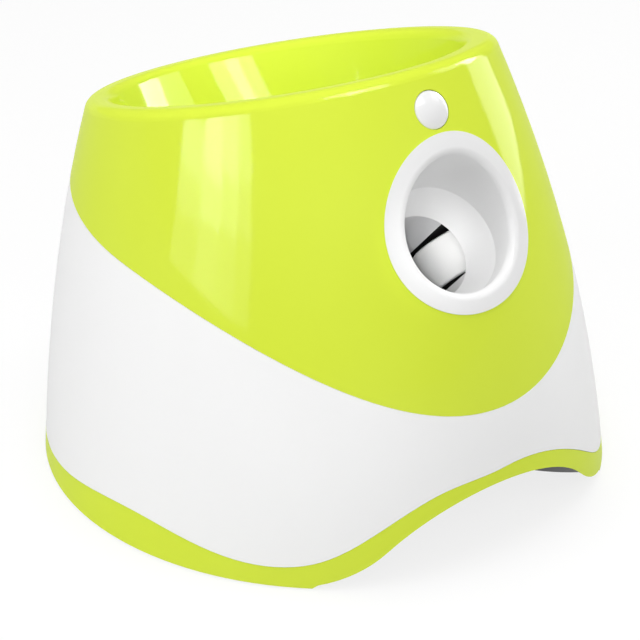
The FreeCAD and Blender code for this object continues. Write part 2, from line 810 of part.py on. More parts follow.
def make_base_tray():
    wall = size("shell_wall")
    gap = size("seam_gap")
    low = size("tray_height")
    top = low + size("tray_plate")
    half_x, half_y = bay_sizes()
    bay_y = size("bay_y")
    inner = housing_form(wall + gap)
    floor = inner.common(slab(low, top))
    vault = inner.common(tunnel(size("tray_plate"))).common(slab(low, FAR))
    tray = floor.fuse(vault).cut(tunnel(0))
    hinge = size("door_hinge_radius")
    opening = Part.makeBox(2 * half_x - 8, 2 * half_y - 4 + hinge + gap, 20,
                           Vector(-half_x + 4, bay_y - half_y + 2, low - 5))
    tray = tray.cut(opening)
    lug_x = half_x - 4
    lugs = []
    hinge_y = bay_y + half_y - 2
    hinge_z = low + hinge
    for side in (-1, 1):
        lug = Part.makeBox(5, 2 * hinge + 2, 2 * hinge + 1.4,
                           Vector(side * (lug_x + 2.5) - 2.5, hinge_y - hinge - 1, low))
        lugs.append(lug)
    tray = tray.fuse(lugs)
    pin_hole = Part.makeCylinder(hinge * 0.6 + size("bearing_gap"), 2 * half_x - 2,
                                 Vector(-half_x + 1, hinge_y, hinge_z), X_AXIS)
    tray = tray.cut(pin_hole)
    # a roofed slot for the door's thumb tab, with room for a fingertip in front of it
    tab_y = tab_line()
    roof = Part.makeBox(22, 18.2, 2, Vector(-11, tab_y - 14, top - EASE))
    slot = Part.makeBox(16.4, bay_y - half_y - tab_y + 14.2, size("tray_plate") + 1,
                        Vector(-8.2, tab_y - 12, low - 1))
    tray = tray.fuse(roof).cut(slot)
    for side in (-1, 1):
        for y in FOOT_SCREWS:
            spot = Vector((frame_x() + size("frame_thickness") + 6) * side, y, low + 0.2)
            tray = tray.cut(Part.makeCylinder(1.55, 10, spot))
    for x, y in case_posts():
        tray = tray.cut(Part.makeCylinder(1.5, 10, Vector(x, y, low - 1)))
        tray = tray.cut(Part.makeCylinder(3.3, SCREW_SINK + 1, Vector(x, y, low - 1)))
    return node(feature("base_tray", tray))


def make_battery_door():
    gap = size("door_gap")
    low = size("tray_height")
    half_x, half_y = bay_sizes()
    bay_y = size("bay_y")
    hinge = size("door_hinge_radius")
    hinge_y = bay_y + half_y - 2
    thick = size("tray_plate") / 2
    leaf = Part.makeBox(2 * (half_x - 4 - gap), 2 * half_y - 4 - gap, thick,
                        Vector(-half_x + 4 + gap, bay_y - half_y + 2 + gap, low))
    barrel = Part.makeCylinder(hinge, 2 * (half_x - 4 - gap),
                               Vector(-half_x + 4 + gap, hinge_y, low + hinge), X_AXIS)
    pins = Part.makeCylinder(hinge * 0.6, 2 * half_x - 2.6,
                             Vector(-half_x + 1.3, hinge_y, low + hinge), X_AXIS)
    tab_y = tab_line()
    tab = Part.makeBox(15.6, bay_y - half_y - tab_y + 6, size("tray_plate") - gap,
                       Vector(-7.8, tab_y - 3.6, low))
    ribs = [Part.makeBox(1.4, 2 * half_y - 16, 1.6,
                         Vector(x - 0.7, bay_y - half_y + 6, low + thick - EASE))
            for x in (-half_x * 0.6, -half_x * 0.2, half_x * 0.2, half_x * 0.6)]
    node(feature("battery_door", leaf.fuse([barrel, pins, tab] + ribs)))


def foot_spots():
    """The pads stand wide in front, beside the arch, and closer together behind."""
    front = (size("base_half_width") * 0.70, -size("base_half_depth") * 0.62)
    rear = (size("base_half_width") * 0.50, size("base_half_depth") * 0.71)
    return [(x * side, y) for side in (-1, 1) for x, y in (front, rear)]


def make_feet():
    sample = turned("foot_pad_sample", [
        ("0", "0"),
        ("Sizes.foot_radius - 0.5", "0"),
        ("Sizes.foot_radius", "0.5"),
        ("Sizes.foot_radius", "Sizes.tray_height"),
        ("0", "Sizes.tray_height"),
    ])
    group("foot_pads", sample, [at(x, y) for x, y in foot_spots()])


def make_case_screws():
    sample = screw("case_screw", "11", "1.4")
    group("case_screws", sample,
          [at(x, y, size("tray_height") + SCREW_SINK, X_AXIS, 180) for x, y in case_posts()])


# ------------------------------------------------------------------ ball duct
FRAME_LUGS = [(17.6, 3.6), (35.6, 7.2)]        # (y, z) from the cradle of the frames' pads
SENSOR_SEAT = 6.5                              # radius of the seat of a ball sensor
SENSOR_FACE = 30.0                             # how far out the seat's face lies


elbow = Vector(0, size("throat_y"),
               cradle.z + (size("throat_y") - cradle.y)
               * math.tan(math.radians(size("ramp_slope"))))
kicker_contact = cradle - LAUNCH_AXIS * (size("ball_radius") + size("frame_gap")
                                         + size("pad_thickness"))
kicker_pivot = kicker_contact - ACROSS_AXIS * size("kicker_reach")


def tube(start, end, radius):
    return Part.makeCylinder(radius, (end - start).Length, start, end - start)


def duct_form(extra):
    """The ball's way, as a solid: column, elbow, ramp, cradle and launch tube."""
    bore = size("duct_radius") + extra
    top = Vector(0, size("throat_y"), size("throat_height") - size("bowl_wall")
                 - size("seam_gap"))
    start = launch_point(depth=size("passage_depth") + size("seam_gap"))
    parts = [
        tube(elbow, top, bore),
        Part.makeSphere(bore, elbow),
        tube(cradle, elbow, bore),
        Part.makeSphere(bore, cradle),
        tube(cradle, start, size("launch_radius") + extra),
    ]
    return parts[0].fuse(parts[1:])


def duct_space():
    """Room for the ball, open at both ends."""
    top = Vector(0, size("throat_y"), size("throat_height") + 10)
    mouth = launch_point(depth=size("passage_depth") - 10)
    ends = [tube(elbow, top, size("duct_radius")),
            tube(cradle, mouth, size("launch_radius"))]
    return duct_form(0).fuse(ends)


def flange_place(side):
    """The middle of a motor flange's upper face, square to the launch tube."""
    across = -(size("drum_width") / 2 + size("window_gap"))
    return in_launch(side * drum_x(), across, size("drum_depth"))


def drum_x():
    return size("drum_grip") + size("drum_radius")


def duct_boss_spots():
    """Middles of the clamp bosses round the duct, on its seam."""
    wall = size("duct_radius") + size("duct_wall") + 2.5
    slope = math.radians(size("ramp_slope"))
    under = Vector(0, math.sin(slope), -math.cos(slope)) * wall
    return [
        Vector(0, size("throat_y") + wall, elbow.z + 2),
        launch_point(across=size("launch_radius") + size("duct_wall") + 2.5,
                     depth=size("passage_depth") + 9),
        launch_point(across=-(size("launch_radius") + size("duct_wall") + 2.5),
                     depth=size("passage_depth") + 9),
        cradle + (elbow - cradle) * 0.6 + under,
    ]


def make_duct():
    outer = duct_form(size("duct_wall"))
    thick = size("flange_thickness")
    gap = size("window_gap")
    drum_half = size("drum_width") / 2
    flange_half = size("motor_radius") + 8
    span = drum_x() + flange_half - 6
    flange = Part.makeBox(2 * span, thick, 2 * flange_half)
    flange.Placement = in_launch(-span, -(drum_half + gap) - thick,
                                 size("drum_depth") + flange_half)
    bosses = [Part.makeCylinder(size("duct_boss_radius"), 2 * size("duct_boss_length"),
                                spot - X_AXIS * size("duct_boss_length"), X_AXIS)
              for spot in duct_boss_spots()]
    pads = []
    for side in (-1, 1):
        for y, z in FRAME_LUGS:
            spot = Vector(15 * side, cradle.y + y, cradle.z + z)
            pads.append(Part.makeCylinder(5, frame_x() - 15, spot, X_AXIS * side))
        pads.append(Part.makeCylinder(SENSOR_SEAT, SENSOR_FACE - 15,
                                      Vector(15 * side, cradle.y, cradle.z), X_AXIS * side))
    # side windows for the drums, open towards the mouth, with a rib along their upper edge
    chord = math.sqrt(size("drum_radius") ** 2
                      - (drum_x() - size("launch_radius") - size("duct_wall")) ** 2)
    window_start = size("passage_depth") - 5
    window_end = size("drum_depth") + chord + gap
    window = Part.makeBox(4 * span, 2 * (drum_half + gap), window_end - window_start)
    window.Placement = in_launch(-2 * span, -(drum_half + gap), window_end)
    rib_start = size("passage_depth") + 1.5
    rib = Part.makeBox(2 * size("window_rib_reach"), size("window_rib"), window_end - rib_start)
    rib.Placement = in_launch(-size("window_rib_reach"), drum_half + gap, window_end)
    body = outer.fuse([flange, rib] + bosses + pads)
    body = body.cut(bowl_form(size("bowl_wall") + size("seam_gap")))
    body = body.cut(duct_space())
    body = body.cut(window)
    # slot under the cradle for the kicker's swing
    slot_half = size("kicker_width") / 2 + 1.2
    reach = size("kicker_reach") + size("kicker_thickness") + 6
    sweep = Part.makeCylinder(reach, 2 * slot_half, Vector(-slot_half, 0, 0), X_AXIS,
                              size("kicker_swing") + 28)
    start = math.degrees(math.atan2(ACROSS_AXIS.z, ACROSS_AXIS.y)) - 18
    sweep.Placement = Placement(kicker_pivot, Rotation(X_AXIS, start - sweep_zero()))
    body = body.cut(sweep)
    # shaft and screw holes of the motors, and clamp screw holes
    for side in (-1, 1):
        place = flange_place(side)
        for dx, dz, radius in ((0, 0, 5.2), (0, 8, 1.4), (0, -8, 1.4)):
            base = place.multVec(Vector(dx, thick, dz))
            body = body.cut(Part.makeCylinder(radius, 3 * thick, base, ACROSS_AXIS * -1))
    for spot in duct_boss_spots():
        body = body.cut(Part.makeCylinder(size("duct_screw_radius") + 0.05, 100,
                                          spot - X_AXIS * 50, X_AXIS))
    # screw holes of the frame pads, and the sensors' line of sight across the cradle
    for y, z in FRAME_LUGS:
        reach = frame_x() - 1.6
        for side in (-1, 1):
            spot = Vector(reach * side, cradle.y + y, cradle.z + z)
            body = body.cut(Part.makeCylinder(1.25, 10, spot, X_AXIS * side))
    body = body.cut(Part.makeCylinder(2, 100, Vector(-50, cradle.y, cradle.z), X_AXIS))
    for side, label in ((-1, "duct_left"), (1, "duct_right")):
        half = Part.makeBox(FAR, 2 * FAR, 2 * FAR,
                            Vector(0.05 if side > 0 else -FAR - 0.05, -FAR, -FAR))
        node(feature(label, body.common(half)))
    sample = screw("duct_screw", "2 * Sizes.duct_boss_length - 1")
    group("duct_screws", sample,
          [aimed(spot + X_AXIS * size("duct_boss_length"), X_AXIS)
           for spot in duct_boss_spots()])


def sweep_zero():
    """Direction of a part-cylinder's start, in degrees from +Y, when its axis is +X."""
    test = Part.makeCylinder(1, 1, Vector(), X_AXIS, 1)
    middle = test.CenterOfMass
    return math.degrees(math.atan2(middle.z, middle.y)) - 0.5


# ------------------------------------------------------------------ drums and motors
def drum_place(side):
    """The drum's middle, with +Z along its spindle, square to the launch direction."""
    centre = launch_point(side * drum_x(), 0, size("drum_depth"))
    return aimed(centre, ACROSS_AXIS)


def make_drum(side, name):
    place = drum_place(side)
    half = "Sizes.drum_width / 2"
    core = "(Sizes.drum_radius - Sizes.tyre_thickness)"
    node(turned(f"{name}_drum", [
        ("Sizes.spindle_radius", f"-{half} + 1"),
        ("Sizes.spindle_radius + 4", f"-{half} + 1"),
        ("Sizes.spindle_radius + 4", "-Sizes.drum_web / 2"),
        (f"{core} - 3", "-Sizes.drum_web / 2"),
        (f"{core} - 3", f"-{half} + 0.6"),
        (core, f"-{half} + 0.6"),
        (core, f"{half} - 0.6"),
        (f"{core} - 3", f"{half} - 0.6"),
        (f"{core} - 3", "Sizes.drum_web / 2"),
        ("Sizes.spindle_radius + 4", "Sizes.drum_web / 2"),
        ("Sizes.spindle_radius + 4", f"{half} - 4"),
        ("Sizes.spindle_radius", f"{half} - 4"),
    ], place))
    node(turned(f"{name}_tyre", [
        (core, f"-{half}"),
        ("Sizes.drum_radius - 0.8", f"-{half}"),
        ("Sizes.drum_radius", f"-{half} + 0.8"),
        ("Sizes.drum_radius", f"{half} - 0.8"),
        ("Sizes.drum_radius - 0.8", half),
        (core, half),
    ], place))
    low = "(Sizes.drum_width / 2 + Sizes.window_gap + Sizes.flange_thickness)"
    node(turned(f"{name}_spindle", [
        ("0", f"-{low} - Sizes.motor_length + 2"),
        ("Sizes.spindle_radius", f"-{low} - Sizes.motor_length + 2"),
        ("Sizes.spindle_radius", "Sizes.drum_width / 2 - 3"),
        ("0", "Sizes.drum_width / 2 - 3"),
    ], place))
    shaft_bore = "Sizes.spindle_radius + Sizes.bearing_gap"
    can = turned(f"{name}_motor_can", [
        (shaft_bore, f"-{low} - Sizes.motor_length"),
        ("Sizes.motor_radius - 1", f"-{low} - Sizes.motor_length"),
        ("Sizes.motor_radius", f"-{low} - Sizes.motor_length + 1"),
        ("Sizes.motor_radius", f"-{low} - 1"),
        ("Sizes.motor_radius - 1", f"-{low}"),
        ("5", f"-{low}"),
        ("5", f"-{low} + 2"),
        (shaft_bore, f"-{low} + 2"),
    ], place)
    holes = []
    for step in (-8, 8):
        base = launch_point(side * drum_x(), -size("drum_width") / 2, size("drum_depth") + step)
        holes.append(primitive("Cylinder", f"{name}_motor_hole_{step + 8}",
                               aimed(base, ACROSS_AXIS * -1), Radius="1.25", Height="8"))
    node(cut(f"{name}_motor", can, *holes))


def make_drums():
    for side, name in ((-1, "left"), (1, "right")):
        make_drum(side, name)
    low = "(Sizes.drum_width / 2 + Sizes.window_gap + Sizes.flange_thickness)"
    cap = turned("motor_cap_sample", [
        ("0", f"-{low} - Sizes.motor_length - Sizes.motor_cap_length"),
        ("5", f"-{low} - Sizes.motor_length - Sizes.motor_cap_length"),
        ("5", f"-{low} - Sizes.motor_length - Sizes.motor_cap_length + 2"),
        ("Sizes.motor_radius - 1.2",
         f"-{low} - Sizes.motor_length - Sizes.motor_cap_length + 2"),
        ("Sizes.motor_radius - 1.2", f"-{low} - Sizes.motor_length"),
        ("0", f"-{low} - Sizes.motor_length"),
    ])
    group("motor_end_caps", cap, [drum_place(-1), drum_place(1)])
    sample = screw("motor_screw", "5", "1.2")
    head = -(size("drum_width") / 2 + size("window_gap"))
    places = []
    for side in (-1, 1):
        for dz in (-8, 8):
            spot = launch_point(side * drum_x(), head, size("drum_depth") + dz)
            places.append(aimed(spot, ACROSS_AXIS))
    group("motor_screws", sample, places)


# ------------------------------------------------------------------ kicker and its drive
def gear_solid(teeth, width, bore):
    """A spur gear with straight-flanked teeth, on its own Z axis, a tooth on +X."""
    module = size("gear_module")
    pitch = module * teeth / 2
    tip = pitch + module
    root = pitch - 1.2 * module
    points = []
    for tooth in range(int(teeth)):
        for radius, share in ((root, -0.36), (pitch, -0.235), (tip, -0.12),
                              (tip, 0.12), (pitch, 0.235), (root, 0.36)):
            turn = 2 * math.pi * (tooth + share) / teeth
            points.append(Vector(radius * math.cos(turn), radius * math.sin(turn), 0))
    blank = Part.Face(Part.makePolygon(points + points[:1])).extrude(Vector(0, 0, width))
    return blank.cut(Part.makeCylinder(bore, 3 * width, Vector(0, 0, -width)))


def pinion_axis():
    """Middle of the pinion, beside the kicker's pivot."""
    apart = size("gear_module") * (size("gear_teeth") + size("pinion_teeth")) / 2
    turn = math.radians(size("pinion_direction"))
    return kicker_pivot + Vector(0, math.cos(turn), math.sin(turn)) * (apart + 0.15)


GEAR_X = 13.0      # inner face of the gears, from the middle of the launcher


def make_kicker():
    reach = "Sizes.kicker_reach"
    thick = "Sizes.kicker_thickness"
    frame = Placement(kicker_pivot, launch.Rotation)
    arm = plate("kicker_lever", [
        ("-Sizes.kicker_width / 2", "0"),
        ("Sizes.kicker_width / 2", "0"),
        ("Sizes.kicker_width / 2", f"{reach} + 8"),
        ("-Sizes.kicker_width / 2", f"{reach} + 8"),
    ], thick, frame.multiply(at(z=-size("kicker_thickness"))))
    hub = primitive("Cylinder", "kicker_hub",
                    Placement(kicker_pivot - X_AXIS * size("kicker_width"),
                              Rotation(Z_AXIS, X_AXIS)),
                    Radius="Sizes.kicker_shaft_radius + 4", Height="2 * Sizes.kicker_width")
    bore = primitive("Cylinder", "kicker_bore",
                     Placement(kicker_pivot - X_AXIS * FAR / 8, Rotation(Z_AXIS, X_AXIS)),
                     Radius="Sizes.kicker_shaft_radius", Height="100")
    node(cut("kicker_arm", fuse("kicker_whole", arm, hub), bore))
    node(primitive("Box", "kicker_pad",
                   frame.multiply(Placement(Vector(-size("kicker_width") / 2,
                                                   size("kicker_reach") - 7, 0), Rotation())),
                   Length="Sizes.kicker_width", Width="14", Height="Sizes.pad_thickness"))
    half = frame_x() + size("frame_thickness")
    node(primitive("Cylinder", "kicker_shaft",
                   Placement(kicker_pivot - X_AXIS * (half + 2), Rotation(Z_AXIS, X_AXIS)),
                   Radius="Sizes.kicker_shaft_radius",
                   Height=f"{2 * (half + 2)}"))
    gear = gear_solid(size("gear_teeth"), size("gear_width"), size("kicker_shaft_radius"))
    gear.Placement = Placement(kicker_pivot + X_AXIS * GEAR_X, Rotation(Z_AXIS, X_AXIS)).multiply(
        at(angle=gear_phase()))
    node(feature("kicker_gear", gear))


def gear_phase():
    """Turns the gear so that a tooth points at the pinion."""
    toward = pinion_axis() - kicker_pivot
    local = Rotation(Z_AXIS, X_AXIS).inverted().multVec(toward)
    return math.degrees(math.atan2(local.y, local.x))


def make_feed_drive():
    centre = pinion_axis()
    spin = Rotation(Z_AXIS, X_AXIS)
    half_tooth = 180.0 / size("pinion_teeth")
    pinion = gear_solid(size("pinion_teeth"), size("gear_width"), size("feed_shaft_radius"))
    pinion.Placement = Placement(centre + X_AXIS * GEAR_X, spin).multiply(
        at(angle=gear_phase() + 180 + half_tooth))
    node(feature("feed_pinion", pinion))
    outside = frame_x() + size("frame_thickness")
    node(primitive("Cylinder", "feed_motor_shaft",
                   Placement(centre + X_AXIS * (GEAR_X - 1), spin),
                   Radius="Sizes.feed_shaft_radius", Height=f"{outside - GEAR_X + 7}"))
    gearbox = Part.makeBox(12, 12, 10, Vector(-6, -6, 0))
    can = Part.makeCylinder(6, 16, Vector(0, 0, 9.5)).common(
        Part.makeBox(12, 10, 30, Vector(-6, -5, 0)))
    tail = Part.makeCylinder(2.5, 1.5, Vector(0, 0, 25.4))
    bore = Part.makeCylinder(size("feed_shaft_radius") + size("bearing_gap"), 7,
                             Vector(0, 0, -0.5))
    motor = gearbox.fuse([can, tail]).cut(bore)
    motor.Placement = Placement(centre + X_AXIS * outside, spin)
    node(feature("feed_motor", motor))


def frame_x():
    """Inner face of a side frame, just clear of the duct's side."""
    return size("duct_radius") + size("duct_wall") + size("frame_gap")


def make_frames():
    """Side plates that stand on the tray, hold the duct between them and carry the kicker."""
    foot = size("tray_height") + size("tray_plate")
    pivot = kicker_pivot
    pinion = pinion_axis()
    front, rear = FRAME_FEET
    outline = [(front, foot)]
    outline += [(cradle.y + y, cradle.z + z) for y, z in
                ((-24.4, -60.8), (-24.4, -49.8), (-20.4, -35.8), (-0.4, -13.8), (6.6, -3.8),
                 (11.6, 13.2), (39.6, 17.2), (49.6, 10.2))]
    outline += [(rear, foot)]
    for side, label in ((-1, "frame_left"), (1, "frame_right")):
        face = Part.Face(Part.makePolygon([Vector(0, y, z) for y, z in outline + outline[:1]]))
        sheet_part = face.extrude(X_AXIS * size("frame_thickness") * side)
        sheet_part.translate(X_AXIS * frame_x() * side)
        edge = frame_x() + size("frame_thickness")
        foot_plate = Part.makeBox(12, rear - front, 3,
                                  Vector(edge - 1 if side > 0 else -edge - 11, front, foot))
        corners = [(edge, foot), (edge + 10, foot), (edge, foot + 30), (edge, foot)]
        rib = Part.Face(Part.makePolygon([Vector(x * side, rear - 10, z) for x, z in corners]))
        rib = rib.extrude(Vector(0, 3, 0))
        whole = sheet_part.fuse([foot_plate, rib])
        bearing = Part.makeCylinder(size("kicker_shaft_radius") + size("bearing_gap"), FAR,
                                    Vector(-FAR / 2, pivot.y, pivot.z), X_AXIS)
        whole = whole.cut(bearing)
        if side > 0:
            whole = whole.cut(Part.makeCylinder(size("feed_shaft_radius") + 1, FAR,
                                                Vector(-FAR / 2, pinion.y, pinion.z), X_AXIS))
        for y, z in FRAME_LUGS:
            spot = Vector(-FAR / 2, cradle.y + y, cradle.z + z)
            whole = whole.cut(Part.makeCylinder(1.25, FAR, spot, X_AXIS))
        for y in FOOT_SCREWS:
            spot = Vector((edge + 6) * side, y, foot - 5)
            whole = whole.cut(Part.makeCylinder(1.55, 20, spot))
        node(feature(label, whole))
    sample = screw("frame_screw", "5", "1.5")
    edge = frame_x() + size("frame_thickness")
    group("frame_screws", sample,
          [at((edge + 6) * side, y, foot + 3)
           for side in (-1, 1) for y in FOOT_SCREWS])
    sample = screw("lug_screw", "4.4", "1.2")
    group("lug_screws", sample,
          [aimed(Vector(edge * side, cradle.y + y, cradle.z + z), X_AXIS * side)
           for side in (-1, 1) for y, z in FRAME_LUGS])


# ------------------------------------------------------------------ sensors
def make_sensors():
    """A light barrier across the cradle: one small block on each side of the duct."""
    for side, label in ((-1, "ball_sensor_emitter"), (1, "ball_sensor_receiver")):
        block = Part.makeBox(6, 9, 9, Vector(0, -4.5, -4.5))
        lens = Part.makeCylinder(1.9, 4, Vector(-1.5, 0, 0), X_AXIS)
        whole = block.fuse(lens)
        turn = Rotation(Z_AXIS, 0 if side > 0 else 180)
        whole.Placement = Placement(Vector(SENSOR_FACE * side, cradle.y, cradle.z), turn)
        node(feature(label, whole))


# ------------------------------------------------------------------ power
def make_battery_parts():
    half_x, half_y = bay_sizes()
    bay_y = size("bay_y")
    floor = size("tray_height") + size("tray_plate")
    wall = size("box_wall")
    radius = size("cell_radius")
    inner_top = floor + 2 * radius + 1
    box = Part.makeBox(2 * (half_x + wall), 2 * (half_y + wall), inner_top + wall - floor,
                       Vector(-half_x - wall, bay_y - half_y - wall, floor))
    space = Part.makeBox(2 * half_x, 2 * half_y, inner_top - floor,
                         Vector(-half_x, bay_y - half_y, floor - EASE))
    saddles = []
    for row in (-1, 1):
        y = bay_y + row * (radius + size("cell_gap") / 2)
        for x in (-size("cell_length") / 2, size("cell_length") / 2):
            saddles.append(Part.makeBox(2, 2, 10, Vector(x - 1, y - 1, inner_top - 9)))
    box = box.cut(space).fuse(saddles)
    posts = []
    for x, y in board_posts():
        post = Part.makeCylinder(3, size("board_standoff"), Vector(x, y, inner_top + wall))
        posts.append(post)
    box = box.fuse(posts)
    for x, y in board_posts():
        box = box.cut(Part.makeCylinder(1.1, size("board_standoff"),
                                        Vector(x, y, inner_top + wall + 0.5)))
    # room over the hinge lugs of the door
    lug = Part.makeBox(8, 8, 6, Vector(0, 0, 0))
    for side in (-1, 1):
        room = lug.copy()
        room.translate(Vector(side * (half_x - 1) - 4, bay_y + half_y - 6, floor - 3))
        box = box.cut(room)
    node(feature("battery_box", box))

    length = "Sizes.cell_length"
    cell = turned("cell_sample", [
        ("0", "0"),
        ("Sizes.cell_radius - 1", "0"),
        ("Sizes.cell_radius", "1"),
        ("Sizes.cell_radius", f"{length} - 2.5"),
        ("Sizes.cell_radius - 1", f"{length} - 1.5"),
        ("3.2", f"{length} - 1.5"),
        ("3.2", length),
        ("0", length),
    ])
    places = []
    pitch = 2 * radius + size("cell_gap")
    centre_z = inner_top - radius - 0.3
    for row in (-1, 0, 1):
        for start in (-size("cell_length") - size("cell_gap") / 2, size("cell_gap") / 2):
            spot = Vector(start, bay_y + row * pitch, centre_z)
            if row % 2:
                places.append(aimed(spot, X_AXIS))
            else:
                places.append(aimed(spot + X_AXIS * size("cell_length"), X_AXIS * -1))
    group("battery_cells", cell, places)

    leaf = Part.makePolygon([Vector(0, 0, 0), Vector(0.4, 0, 0), Vector(0.4, 0, 14),
                             Vector(3.2, 0, 9), Vector(3.5, 0, 9.4), Vector(0.4, 0, 15.4),
                             Vector(0, 0, 15.4), Vector(0, 0, 0)])
    strip = Part.Face(leaf).extrude(Vector(0, 10, 0))
    contacts = []
    reach = half_x - 0.15
    for row in (-1, 0, 1):
        for side in (-1, 1):
            copy = strip.copy()
            copy.Placement = Placement(
                Vector(-side * reach, bay_y + row * pitch - 5 * side, centre_z - 8),
                Rotation(Z_AXIS, 0 if side > 0 else 180))
            contacts.append(copy)
    node(feature("battery_contacts", Part.makeCompound(contacts)))


def board_posts():
    return [(x, size("bay_y") + y) for x in (-44, 44) for y in (-30, 30)]


def board_height():
    floor = size("tray_height") + size("tray_plate")
    return floor + 2 * size("cell_radius") + 1 + size("box_wall") + size("board_standoff")


def make_electronics():
    place = at(y=size("bay_y"), z=board_height())
    node(plate("main_board", [
        ("-50", "-36"), ("50", "-36"), ("50", "36"), ("-50", "36"),
    ], "Sizes.board_thickness", place,
        circles=[(str(x), str(y - size("bay_y")), "1.3") for x, y in board_posts()]))
    top = board_height() + size("board_thickness")
    bay = size("bay_y")
    parts = [
        Part.makeCylinder(5, 12, Vector(-30, bay + 20, top)),
        Part.makeCylinder(5, 12, Vector(-18, bay + 20, top)),
        Part.makeCylinder(7, 8, Vector(34, bay - 18, top)),
        Part.makeBox(14, 14, 2, Vector(-7, bay - 7, top)),
        Part.makeBox(15, 12, 11, Vector(20, bay + 14, top)),
        Part.makeBox(18, 6, 9, Vector(-38, bay - 34, top)),
        Part.makeBox(12, 6, 9, Vector(-15, bay - 34, top)),
    ]
    for x in (2, 12):
        fin = Part.makeBox(8, 4.5, 14, Vector(x, bay - 32, top))
        parts.append(fin)
    node(feature("board_parts", Part.makeCompound(parts)))
    sample = screw("board_screw", "5", "1")
    group("board_screws", sample, [at(x, y, top) for x, y in board_posts()])


def make_jack():
    """Round panel socket on the floor of its pocket, with its nut behind."""
    node(turned("dc_jack", [
        ("0", "-13"),
        ("3", "-13"),
        ("3", "-10"),
        ("Sizes.jack_radius", "-10"),
        ("Sizes.jack_radius", "0"),
        ("Sizes.jack_radius + 2.5", "0"),
        ("Sizes.jack_radius + 2.5", "1.6"),
        ("Sizes.jack_radius + 2", "2"),
        ("3.2", "2"),
        ("3.2", "-8"),
        ("1.05", "-8"),
        ("1.05", "0.8"),
        ("0", "0.8"),
    ], jack_place(0)))
    corners = [(9 * math.cos(math.radians(a)), 9 * math.sin(math.radians(a)))
               for a in range(30, 390, 60)]
    node(plate("jack_nut", [(f"{x:.4f}", f"{y:.4f}") for x, y in corners], "2.5",
               jack_place(-5), circles=[("0", "0", "Sizes.jack_radius + 0.05")]))


# ------------------------------------------------------------------ build and write
make_upper_shell()
make_hopper_bowl()
make_lower_shell()
make_base_trim()
make_base_tray()
make_battery_door()
make_feet()
make_case_screws()
make_exit_bezel()
make_button()
make_duct()
make_drums()
make_frames()
make_kicker()
make_feed_drive()
make_sensors()
make_battery_parts()
make_electronics()
make_jack()
doc.recompute()

for obj in doc.Objects:
    if "Invalid" in obj.State or "Error" in obj.State:
        raise RuntimeError(f"{obj.Label} failed: {obj.State}")
for piece in nodes:
    if piece.Shape.isNull() or not piece.Shape.isValid() or not piece.Shape.Solids:
        raise RuntimeError(f"{piece.Label} has no valid solid")

os.makedirs("parts", exist_ok=True)
for piece in nodes:
    piece.Shape.exportStep(f"parts/{piece.Label}.step")
    box = piece.Shape.BoundBox
    print(f"{piece.Label:22s} {len(piece.Shape.Solids):2d} solids {piece.Shape.Volume:10.0f} mm3  "
          f"x {box.XMin:7.1f} {box.XMax:7.1f}  y {box.YMin:7.1f} {box.YMax:7.1f}  "
          f"z {box.ZMin:7.1f} {box.ZMax:7.1f}")
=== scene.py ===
# %% [markdown]
# # An automatic ball launcher for dogs
# The launcher is a tapered tub of glossy plastic. A dog drops a ball into the hopper, the ball
# rolls down inside, and two drums throw it out of the round mouth in front.
# The CAD model is loaded first and never moves: it gives every piece its place and its shape. The
# steps below set the camera and the light, and then give each piece the finish of the real one.

# %% Load the frame
import math

import bpy
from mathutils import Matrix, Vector

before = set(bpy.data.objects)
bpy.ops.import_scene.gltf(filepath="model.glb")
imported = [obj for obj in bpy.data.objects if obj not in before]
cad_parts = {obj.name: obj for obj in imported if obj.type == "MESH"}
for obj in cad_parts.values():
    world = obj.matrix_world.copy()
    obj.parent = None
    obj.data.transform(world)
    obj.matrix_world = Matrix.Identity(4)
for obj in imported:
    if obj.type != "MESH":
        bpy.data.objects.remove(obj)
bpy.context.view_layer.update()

# %% [markdown]
# ## The camera
# A camera can be turned by three angles, but a place and a point to aim at are easier to judge, and
# to_track_quat finds the angles from them. The lens is a telephoto, because a product looks calm
# with weak perspective: the tub's sides lean in only a little. The camera stands to the front left,
# and looks down enough to see into the hopper.

# %% The camera
MM = 0.001          # in metres, the unit of the frame
CAMERA_PLACE = Vector((-758.7, -1033.5, 745.4)) * MM
CAMERA_AIM = Vector((12.9, 16.9, 67.0)) * MM

camera_data = bpy.data.cameras.new("camera")
camera_data.sensor_width = 36.0
camera_data.lens = 133.8
camera = bpy.data.objects.new("camera", camera_data)
bpy.context.scene.collection.objects.link(camera)
camera.location = CAMERA_PLACE
camera.rotation_euler = (CAMERA_AIM - CAMERA_PLACE).to_track_quat("-Z", "Y").to_euler()
bpy.context.scene.camera = camera
bpy.context.scene.view_settings.view_transform = "Standard"
print("camera to aim", round((CAMERA_AIM - CAMERA_PLACE).length, 3), "m")

# %% [markdown] ## The floor The launcher stands on a studio floor. A backdrop could curve up behind
# it, but a flat plane is simpler, and this one is so large that its edge stays out of view even
# where the camera looks almost level. Its finish comes last, with the shader tools that the other
# finishes use.

# %% The floor
FLOOR_SIZE = 60.0

bpy.ops.object.select_all(action="DESELECT")
bpy.ops.mesh.primitive_plane_add(size=FLOOR_SIZE, location=(0, 0, 0))
floor = bpy.context.object
floor.name = "floor"
print("floor", FLOOR_SIZE, "m")

# %% [markdown]
# ## Lamps that shine
# Glossy plastic shows its lamps as streaks. A few bright lamps could do it all, but then a streak
# couldn't be moved without changing the light, so what shines and what glints are set apart. Soft
# boxes at the sides and fills in front and overhead shine. Of these, gloss sees only the soft box
# on the right.

# %% Lamps that shine
MIDDLE = (0.0, 0.0, 0.15)


